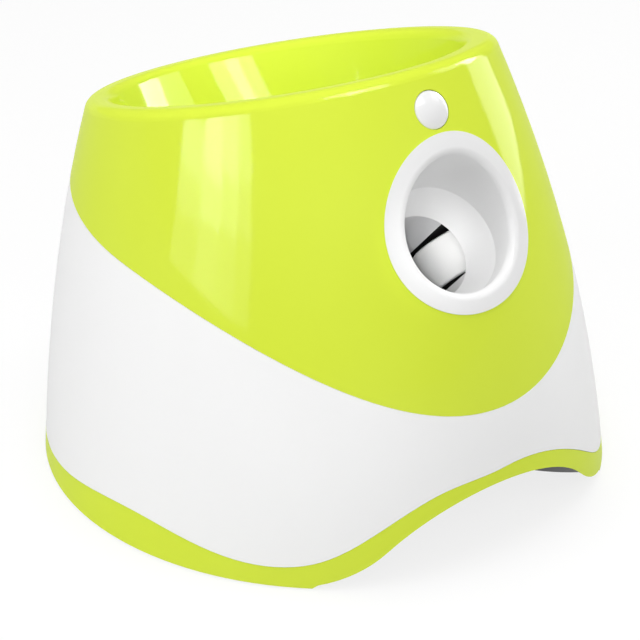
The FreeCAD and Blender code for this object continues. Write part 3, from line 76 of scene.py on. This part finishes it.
def soft_box(name, place, aim, width, height, power, shows=True, shines=True):
    """A lamp at place that faces aim. Gloss sees it if it shows, and the rest if it shines."""
    data = bpy.data.lights.new(name, "AREA")
    data.shape = "RECTANGLE"
    data.size = width
    data.size_y = height
    data.energy = power
    lamp = bpy.data.objects.new(name, data)
    bpy.context.scene.collection.objects.link(lamp)
    lamp.location = place
    lamp.rotation_euler = (Vector(aim) - Vector(place)).to_track_quat("-Z", "Y").to_euler()
    lamp.visible_camera = False
    lamp.visible_glossy = shows
    lamp.visible_diffuse = shines


soft_box("left_box", (-2.01, 0.05, 0.95), (0.0, 0.05, 0.95),
         width=1.31, height=1.36, power=18.0, shows=False)
soft_box("right_box", (1.80, -0.13, 0.83), (0.0, -0.13, 0.83),
         width=0.68, height=1.42, power=6.5)
soft_box("front_fill", (-0.80, -1.25, 1.05), MIDDLE,
         width=1.0, height=1.0, power=5.5, shows=False)
soft_box("right_fill", (0.60, -1.25, 0.75), MIDDLE,
         width=0.8, height=0.8, power=4.0, shows=False)
soft_box("overhead_fill", (-0.05, 0.1, 2.2), MIDDLE,
         width=2.0, height=2.0, power=25.0, shows=False)
print("lamps that shine", len(bpy.data.lights))

# %% [markdown]
# ## Cards that glint
# The cards only glint: they run along the rim and into the hopper, and edge the right side. Moving
# a card about until its streak falls right is slow, so each is placed by the direction in which the
# skin mirrors it, as an azimuth from the front and a height above the horizon. Its size is an angle
# too, and its power follows from how bright it should look.

# %% Cards that glint
RIGHT_WALL = (0.05, -0.10, 0.22)
HOPPER_WALL = (0.02, 0.12, 0.19)


def card_power(radiance, width, height):
    """The power of a rectangular lamp that looks as bright as radiance."""
    return radiance * math.pi * width * height


def glint_card(name, seen_from, azimuth, height, wide, tall, radiance, reach=1.9):
    """A card that only gloss sees. Its angles are in degrees, as seen from a point of the skin."""
    turn = math.radians(azimuth)
    lift = math.radians(height)
    toward = Vector((math.sin(turn) * math.cos(lift), -math.cos(turn) * math.cos(lift),
                     math.sin(lift)))
    width = 2 * reach * math.tan(math.radians(wide / 2))
    length = 2 * reach * math.tan(math.radians(tall / 2))
    start = Vector(seen_from)
    soft_box(name, start + toward * reach, start, width, length,
             card_power(radiance, width, length), shines=False)


glint_card("rim_glint", HOPPER_WALL, azimuth=-2.0, height=58.0,
           wide=30.0, tall=16.0, radiance=16.0)
glint_card("rim_core", HOPPER_WALL, azimuth=-3.0, height=58.0,
           wide=9.0, tall=16.0, radiance=18.0, reach=1.7)
glint_card("hopper_glint", HOPPER_WALL, azimuth=84.0, height=26.0,
           wide=15.0, tall=15.0, radiance=32.0)
glint_card("hopper_halo", HOPPER_WALL, azimuth=68.0, height=37.0,
           wide=18.0, tall=18.0, radiance=8.0)
glint_card("right_glint", RIGHT_WALL, azimuth=88.0, height=8.5,
           wide=22.0, tall=23.0, radiance=6.0)
print("with the cards", len(bpy.data.lights))

# %% [markdown]
# ## The left streak
# The tall streak at the left fades at both sides and towards its foot. One tall card could make a
# streak, but a lamp's face is equally bright all over. So this one is a fan of narrow sheets, side
# by side, each in three tiers that get brighter upwards. They stand close to the shell, where the
# hopper's wall doesn't mirror them. No two overlap, because a ray stops at the first lamp it meets,
# so their light wouldn't add up.

# %% The left streak
SHEET_X = -0.56
SHEET_FOOT = 0.165
SHEETS = [        # name, start and end in y, top, share of the light
    ("edge", -0.19, -0.13, 0.49, 0.45),
    ("flank", -0.13, -0.06, 0.45, 0.75),
    ("core", -0.06, 0.03, 0.40, 0.95),
    ("wing", 0.03, 0.14, 0.35, 0.55),
]
TIERS = [         # name, start and end as shares of the sheet's height, radiance
    ("low", 0.0, 0.35, 8.0),
    ("middle", 0.35, 0.6, 15.0),
    ("high", 0.6, 1.0, 25.0),
]
for name, start_y, end_y, top, share in SHEETS:
    for tier, start, end, radiance in TIERS:
        middle_y = (start_y + end_y) / 2
        middle_z = SHEET_FOOT + (top - SHEET_FOOT) * (start + end) / 2
        width = end_y - start_y
        height = (top - SHEET_FOOT) * (end - start)
        soft_box(f"left_{name}_{tier}", (SHEET_X, middle_y, middle_z), (0.0, middle_y, middle_z),
                 width, height, card_power(radiance * share, width, height), shines=False)
print("with the sheets", len(bpy.data.lights))

# %% [markdown]
# ## Two spots and the room
# Two spots reach what the large lamps don't: the drum, down the mouth, and the hopper's far wall.
# Stronger large lamps would reach them too, but would bleach all the rest. A soft edge hides where
# each spot ends. The room around is an even pale grey, which keeps the shadows open.

# %% Two spots and the room
MOUTH = (0.018, -0.100, 0.163)
ROOM_LIGHT = 0.35


def spot_lamp(name, aim, offset, power, spread, blend, softness):
    """A cone of light on aim, from a lamp that stands off by offset. Its spread is in degrees."""
    data = bpy.data.lights.new(name, "SPOT")
    data.energy = power
    data.spot_size = math.radians(spread)
    data.spot_blend = blend
    data.shadow_soft_size = softness
    lamp = bpy.data.objects.new(name, data)
    bpy.context.scene.collection.objects.link(lamp)
    lamp.location = Vector(aim) + Vector(offset)
    lamp.rotation_euler = (-Vector(offset)).to_track_quat("-Z", "Y").to_euler()
    lamp.visible_glossy = False


spot_lamp("mouth_spot", MOUTH, (-0.76, -0.90, 0.55),
          power=42.0, spread=2.5, blend=0.6, softness=0.02)
spot_lamp("hopper_spot", HOPPER_WALL, (-0.35, -0.45, 1.30),
          power=10.0, spread=11.0, blend=1.0, softness=0.1)

world = bpy.data.worlds.new("pale_room")
bpy.context.scene.world = world
world.use_nodes = True
room = world.node_tree.nodes["Background"]
room.inputs["Color"].default_value = (1.0, 1.0, 1.0, 1.0)
room.inputs["Strength"].default_value = ROOM_LIGHT
print("all lamps", len(bpy.data.lights))

# %% [markdown]
# ## Shader maths
# A finish is easier to read as a formula than as a web of nodes. This small class wraps a socket,
# so that `1 - mask * 0.2` adds the Math nodes by itself. The reflected forms of the operators let a
# plain number stand on the left.

# %% Shader maths
class Wire:
    """A number that comes out of a node."""

    def __init__(self, tree, socket):
        self.tree = tree
        self.socket = socket

    def maths(self, operation, first, second=0.0):
        node = self.tree.nodes.new("ShaderNodeMath")
        node.operation = operation
        for place, value in enumerate((first, second)):
            if isinstance(value, Wire):
                self.tree.links.new(value.socket, node.inputs[place])
            else:
                node.inputs[place].default_value = value
        return Wire(self.tree, node.outputs[0])

    def __add__(self, other):
        return self.maths("ADD", self, other)

    def __radd__(self, other):
        return self.maths("ADD", other, self)

    def __sub__(self, other):
        return self.maths("SUBTRACT", self, other)

    def __rsub__(self, other):
        return self.maths("SUBTRACT", other, self)

    def __mul__(self, other):
        return self.maths("MULTIPLY", self, other)

    def __rmul__(self, other):
        return self.maths("MULTIPLY", other, self)

    def __abs__(self):
        return self.maths("ABSOLUTE", self)

    def over(self, limit):
        """1 where the number is over the limit, and 0 elsewhere."""
        return self.maths("GREATER_THAN", self, limit)

    def at_most(self, limit):
        """The number, or the limit where the number is higher."""
        return self.maths("MINIMUM", self, limit)


print("operators", sorted(name for name in vars(Wire) if name.startswith("__r")))

# %% [markdown]
# ## A finish and its nodes
# Every finish here is one Principled shader with a few patterns in front of it. The class keeps the
# shader, the pieces' own coordinates and one method that adds any node, so that each finish below
# is only the formula that makes it different. Patterns read Object coordinates, which are metres on
# these pieces: a noise of scale 1000 has a grain of about a millimetre.

# %% A finish and its nodes
MIX_FACTOR, MIX_FIRST, MIX_SECOND = 0, 6, 7     # a colour Mix node's sockets, by place
BLACK = (0.0, 0.0, 0.0)
PURE_WHITE = (1.0, 1.0, 1.0)


class Finish:
    """A material with one Principled shader and the nodes that feed it."""

    def __init__(self, name, color, roughness, metallic=0.0, coat=0.0, coat_roughness=0.05,
                 specular=0.5):
        self.material = bpy.data.materials.new(name)
        self.material.use_nodes = True
        self.tree = self.material.node_tree
        self.shader = self.tree.nodes["Principled BSDF"]
        self.shader.inputs["Base Color"].default_value = (*color, 1.0)
        self.shader.inputs["Roughness"].default_value = roughness
        self.shader.inputs["Metallic"].default_value = metallic
        self.shader.inputs["Coat Weight"].default_value = coat
        self.shader.inputs["Coat Roughness"].default_value = coat_roughness
        self.shader.inputs["Specular IOR Level"].default_value = specular
        where = self.add("ShaderNodeTexCoord")
        self.place = where.outputs["Object"]
        self.facing = where.outputs["Normal"]

    def add(self, kind, settings=None, inputs=None):
        """A node of that kind, with its settings set first and then its sockets."""
        node = self.tree.nodes.new(kind)
        for name, value in (settings or {}).items():
            setattr(node, name, value)
        for name, value in (inputs or {}).items():
            if isinstance(value, Wire):
                self.tree.links.new(value.socket, node.inputs[name])
            elif isinstance(value, bpy.types.NodeSocket):
                self.tree.links.new(value, node.inputs[name])
            else:
                node.inputs[name].default_value = value
        return node

    def noise(self, scale, detail=2.0, roughness=0.5, stretch=(1, 1, 1)):
        """A pattern of soft blobs from 0 to 1. A high stretch squeezes them along its axis."""
        mapping = self.add("ShaderNodeMapping", None,
                           {"Vector": self.place, "Scale": stretch})
        node = self.add("ShaderNodeTexNoise", None,
                        {"Vector": mapping.outputs[0], "Scale": scale, "Detail": detail,
                         "Roughness": roughness})
        return Wire(self.tree, node.outputs["Fac"])

    def along(self, vector, direction):
        """How far a vector socket reaches in a direction, as a dot product."""
        node = self.add("ShaderNodeVectorMath", {"operation": "DOT_PRODUCT"},
                        {0: vector, 1: direction})
        return Wire(self.tree, node.outputs["Value"])

    def tint(self, mask, color, second):
        """Base colour that runs from color to second as mask goes from 0 to 1."""
        if not isinstance(color, bpy.types.NodeSocket):
            color = (*color, 1.0)
        mix = self.add("ShaderNodeMix", {"data_type": "RGBA"},
                       {MIX_FACTOR: mask, MIX_FIRST: color, MIX_SECOND: (*second, 1.0)})
        shade = mix.outputs[2]
        self.tree.links.new(shade, self.shader.inputs["Base Color"])
        return shade

    def feed(self, socket, value):
        """Let a value drive the shader's socket of that name."""
        self.tree.links.new(value.socket, self.shader.inputs[socket])

    def bump(self, height, depth, strength):
        """Light the surface as if height, from 0 to 1, raised it by up to depth."""
        node = self.add("ShaderNodeBump", None,
                        {"Height": height, "Distance": depth, "Strength": strength})
        self.tree.links.new(node.outputs["Normal"], self.shader.inputs["Normal"])


def mixed(color, share, other=BLACK):
    """color moved by share towards other."""
    return tuple(a + (b - a) * share for a, b in zip(color, other))


print("a tenth darker than white", mixed(PURE_WHITE, 0.1))

# %% [markdown]
# ## Glossy plastic
# The shells are injection moulded in a polished tool. One low roughness could make such a skin, but
# it turns pale and milky where it is seen at a low angle, and the real plastic keeps its colour up
# to its outline. So the base is a matt colour that reflects nothing, and a thin clear coat draws
# the lamps. Under the coat the colour flows in faint swirls, and the base sinks a few hundredths of
# a millimetre over its ribs.

# %% Glossy plastic
LIME = (0.69, 0.83, 0.045)
WHITE = (0.94, 0.94, 0.94)
SOFT_WHITE = (0.85, 0.85, 0.85)


def glossy_plastic(name, color, roughness, shine):
    finish = Finish(name, color, roughness, coat=shine, coat_roughness=0.08, specular=0.0)
    swirl = finish.noise(9.0)
    grain = finish.noise(420.0)
    finish.tint(swirl, mixed(color, 0.03), mixed(color, 0.03, PURE_WHITE))
    finish.feed("Roughness", roughness + 0.05 * (swirl - 0.5) + 0.05 * (grain - 0.5))
    sinks = finish.noise(26.0, detail=1.0)
    finish.bump(sinks + 0.02 * grain, depth=0.12 * MM, strength=0.5)
    return finish.material


lime_plastic = glossy_plastic("lime_plastic", LIME, 0.12, shine=0.25)
white_plastic = glossy_plastic("white_plastic", WHITE, 0.2, shine=0.25)
soft_white_plastic = glossy_plastic("soft_white_plastic", SOFT_WHITE, 0.25, shine=0.3)
print("glossy", lime_plastic.name, white_plastic.name, soft_white_plastic.name)

# %% [markdown]
# ## Grained plastic
# Parts that no one polishes, such as the duct, the tray and the frames, come from a tool with a
# sparked surface. It scatters the light, and its grain is about half a millimetre across. A noise
# of that size drives the bump and the roughness, because modelled grain would take millions of
# faces. The tray underneath is a dark grey as painted shade: it shows as the shaded line under
# the front arch.

# %% Grained plastic
PALE_GREY = (0.76, 0.76, 0.77)
# painted shade: dark so that the tray reads as the shaded line under the front arch
TRAY_SHADE_GREY = (0.06, 0.06, 0.062)
SOOT = (0.02, 0.02, 0.022)
IVORY = (0.80, 0.79, 0.74)
# painted shade: near black for the dark gaps at the duct's windows
GAP_SHADE_BLACK = (0.012, 0.012, 0.012)


def grained_plastic(name, color, roughness, painted_shade_mask=None):
    """Sparked plastic, and near black as painted shade where the optional mask gives 1."""
    finish = Finish(name, color, roughness)
    grain = finish.noise(1500.0, detail=3.0)
    patch = finish.noise(30.0)
    shade = finish.tint(patch, mixed(color, 0.06), mixed(color, 0.04, PURE_WHITE))
    rough = roughness + 0.15 * (grain - 0.5)
    # painted shade: the masked faces turn near black and rough
    if painted_shade_mask:
        painted_gap_shade = painted_shade_mask(finish)
        finish.tint(painted_gap_shade, shade, GAP_SHADE_BLACK)
        rough = rough + 0.5 * painted_gap_shade
    finish.feed("Roughness", rough)
    finish.bump(grain, depth=0.06 * MM, strength=0.6)
    return finish.material


tray_plastic = grained_plastic("tray_plastic", TRAY_SHADE_GREY, 0.5)
dark_plastic = grained_plastic("dark_plastic", SOOT, 0.5)
gear_plastic = grained_plastic("gear_plastic", IVORY, 0.35)
link_plastic = grained_plastic("link_plastic", PALE_GREY, 0.38)
print("grained", tray_plastic.name, dark_plastic.name, gear_plastic.name, link_plastic.name)

# %% [markdown]
# ## The duct and its window edges
# Each drum reaches into the duct through a window. The faces of the window's edges are near black
# and rough: painted shade, which stands for the dark gap between the duct and the drum. A face gets
# it where it is square to the drum's spindle and lies as far from the drum's middle as the window's
# edge, which two dot products tell.

# %% The duct and the painted shade at its windows
SPINDLE_WAY = (0.0, 0.725374, 0.688355)     # of length 1
DRUM_MIDDLE = 37.1 * MM         # along the spindle's way, from the origin
WINDOW_EDGE = 15.7 * MM         # from the drum's middle
SHADE_EDGE_SLACK = 0.4 * MM
SQUARE_ENOUGH = 0.9             # the dot product's own square, which is 1 for an exact fit


def window_edge_shade(finish):
    """1 on the faces of the windows' edges, where the shade is painted, and 0 elsewhere."""
    reach = abs(finish.along(finish.place, SPINDLE_WAY) - DRUM_MIDDLE)
    square = finish.along(finish.facing, SPINDLE_WAY)
    return ((square * square).over(SQUARE_ENOUGH) * reach.over(WINDOW_EDGE - SHADE_EDGE_SLACK)
            * (1 - reach.over(WINDOW_EDGE + SHADE_EDGE_SLACK)))


# the duct's window edges are painted near black as shade
duct_plastic = grained_plastic("duct_plastic", PALE_GREY, 0.38, window_edge_shade)
print("painted_gap_shade", round((WINDOW_EDGE - SHADE_EDGE_SLACK) / MM, 1), "to",
      round((WINDOW_EDGE + SHADE_EDGE_SLACK) / MM, 1), "mm from the drum's middle")

# %% [markdown]
# ## Rubber
# The feet and the kicker's pad are black rubber with a dusty bloom, and the tyres that grip the
# ball are pale. Rubber reflects little, so its specular level is low, and a slow noise lifts its
# colour and roughness together, as bloom does. A finer one gives it a tooth.

# %% Rubber
RUBBER_BLACK = (0.015, 0.015, 0.015)
RUBBER_PALE = (0.88, 0.88, 0.87)


def rubber(name, color, roughness):
    finish = Finish(name, color, roughness, specular=0.35)
    bloom = finish.noise(60.0, detail=4.0)
    tooth = finish.noise(900.0)
    finish.tint(bloom, color, mixed(color, 0.12, PURE_WHITE))
    finish.feed("Roughness", roughness + 0.2 * (bloom - 0.5))
    finish.bump(tooth, depth=0.08 * MM, strength=0.7)
    return finish.material


black_rubber = rubber("black_rubber", RUBBER_BLACK, 0.7)
tyre_rubber = rubber("tyre_rubber", RUBBER_PALE, 0.42)
print("rubber", black_rubber.name, tyre_rubber.name)

# %% [markdown]
# ## Metals
# Motor cans are steel with fine lines from the press, screws are plated and bright, and the gear on
# the feed motor is brass. Each could have nodes of its own, but one function makes all three,
# because they differ only in colour, roughness and how far the noise is squeezed into lines.

# %% Metals
STEEL = (0.62, 0.62, 0.63)
ZINC = (0.72, 0.72, 0.74)
BRASS = (0.78, 0.58, 0.27)
EVEN = (1, 1, 1)
LINED = (1, 1, 14)


def worked_metal(name, color, roughness, stretch):
    finish = Finish(name, color, roughness, metallic=1.0)
    lines = finish.noise(240.0, detail=3.0, roughness=0.6, stretch=stretch)
    stain = finish.noise(40.0, detail=3.0)
    finish.tint(stain, mixed(color, 0.12), color)
    finish.feed("Roughness", roughness + 0.2 * (lines - 0.5))
    finish.bump(lines, depth=0.03 * MM, strength=0.5)
    return finish.material


drawn_steel = worked_metal("drawn_steel", STEEL, 0.32, LINED)
plated_steel = worked_metal("plated_steel", ZINC, 0.22, EVEN)
gear_brass = worked_metal("gear_brass", BRASS, 0.3, EVEN)
print("metals", drawn_steel.name, plated_steel.name, gear_brass.name)

# %% [markdown]
# ## Boards and battery cells
# A circuit board is green lacquer over copper tracks, and a cell is a steel can in a shrunk sleeve.
# Both are a clear film over something else, so each gets a coat over its own pattern. Tracks could
# be modelled, but they are thinner than paper. A noise that is cut off at one level gives patches
# with hard edges, which read as tracks.

# %% Boards and battery cells
LACQUER = (0.018, 0.13, 0.05)
LACQUER_ON_COPPER = (0.04, 0.24, 0.09)
SLEEVE = (0.04, 0.055, 0.10)
SLEEVE_CREASED = (0.07, 0.09, 0.15)


def circuit_board(name):
    finish = Finish(name, LACQUER, 0.35, coat=0.3)
    weave = finish.noise(700.0, detail=1.0)
    tracks = finish.noise(130.0, detail=0.0, stretch=(1, 5, 1)).over(0.56)
    finish.tint(tracks, LACQUER, LACQUER_ON_COPPER)
    finish.feed("Roughness", 0.35 + 0.1 * (weave - 0.5))
    finish.bump(tracks, depth=0.04 * MM, strength=0.6)
    return finish.material


def cell_sleeve(name):
    finish = Finish(name, SLEEVE, 0.28, coat=0.4)
    crease = finish.noise(160.0, stretch=(0.2, 1, 1))
    finish.tint(crease, SLEEVE, SLEEVE_CREASED)
    finish.feed("Roughness", 0.28 + 0.15 * (crease - 0.5))
    finish.bump(crease, depth=0.1 * MM, strength=0.5)
    return finish.material


board_green = circuit_board("board_green")
sleeve_blue = cell_sleeve("sleeve_blue")
print("finishes", len(bpy.data.materials))

# %% [markdown]
# ## Dress the CAD pieces
# Every CAD piece gets the finish of the real one. The table could go from a piece to its finish,
# but many pieces share a few plastics and metals, so it goes from a finish to the pieces that wear
# it. The finish goes into the slots that a piece already has, so nothing of its shape changes.

# %% Dress the CAD pieces
FINISHES = {
    lime_plastic: ["upper_shell", "hopper_bowl", "base_trim"],
    white_plastic: ["lower_shell"],
    soft_white_plastic: ["exit_bezel", "mode_button"],
    tray_plastic: ["base_tray", "battery_door"],
    duct_plastic: ["duct_left", "duct_right"],
    link_plastic: ["kicker_arm"],
    # painted shade: the drum cores are near black so the gaps beside the tyres read black
    dark_plastic: ["left_drum", "right_drum", "frame_left", "frame_right", "motor_end_caps",
                   "battery_box", "board_parts", "dc_jack", "switch_body", "switch_plunger",
                   "ball_sensor_emitter", "ball_sensor_receiver"],
    gear_plastic: ["kicker_gear"],
    black_rubber: ["foot_pads", "kicker_pad"],
    tyre_rubber: ["left_tyre", "right_tyre"],
    drawn_steel: ["left_motor", "right_motor", "feed_motor", "left_spindle", "right_spindle",
                  "kicker_shaft", "feed_motor_shaft", "battery_contacts"],
    plated_steel: ["case_screws", "duct_screws", "motor_screws", "frame_screws", "lug_screws",
                   "board_screws", "switch_screws", "jack_nut"],
    gear_brass: ["feed_pinion"],
    board_green: ["main_board", "switch_board"],
    sleeve_blue: ["battery_cells"],
}
for finish, names in FINISHES.items():
    for name in names:
        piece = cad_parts[name]
        if not piece.material_slots:
            piece.data.materials.append(finish)
        for slot in piece.material_slots:
            slot.material = finish
dressed = {name for names in FINISHES.values() for name in names}
print("dressed", len(dressed), "of", len(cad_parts), "left", set(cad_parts) - dressed)

# %% [markdown]
# ## The floor's finish
# The floor stands for a white sweep that has no end. Stronger lamps could bleach it, but they would
# bleach the object too. Light Path tells the shader which kind of ray asks instead: eyes and gloss
# see white all over, apart from a share that takes the object's shadow, while the light that it
# throws back up is that of pale grey paper, so the foot band keeps its full green.

# %% The floor's finish
PAPER_WHITE = (0.97, 0.97, 0.97)
PAPER_GREY = (0.5, 0.5, 0.5)
GLOW_SHARE = 0.8

pale_floor = Finish("pale_floor", PAPER_WHITE, 0.8, specular=0.1)
rays = pale_floor.add("ShaderNodeLightPath")
seen = sum(Wire(pale_floor.tree, rays.outputs[f"Is {kind} Ray"])
           for kind in ("Camera", "Glossy", "Transmission")).at_most(1.0)
pale_floor.tint(seen, PAPER_GREY, PAPER_WHITE)
pale_floor.feed("Roughness", 0.8 + 0.1 * (pale_floor.noise(3.0) - 0.5))
glow = pale_floor.add("ShaderNodeEmission", None, {"Strength": 1.0})
blend = pale_floor.add("ShaderNodeMixShader", None, {
    "Fac": seen * GLOW_SHARE, 1: pale_floor.shader.outputs[0], 2: glow.outputs[0]})
pale_floor.tree.links.new(blend.outputs[0],
                          pale_floor.tree.nodes["Material Output"].inputs["Surface"])
floor.data.materials.append(pale_floor.material)
print("floor", pale_floor.material.name)
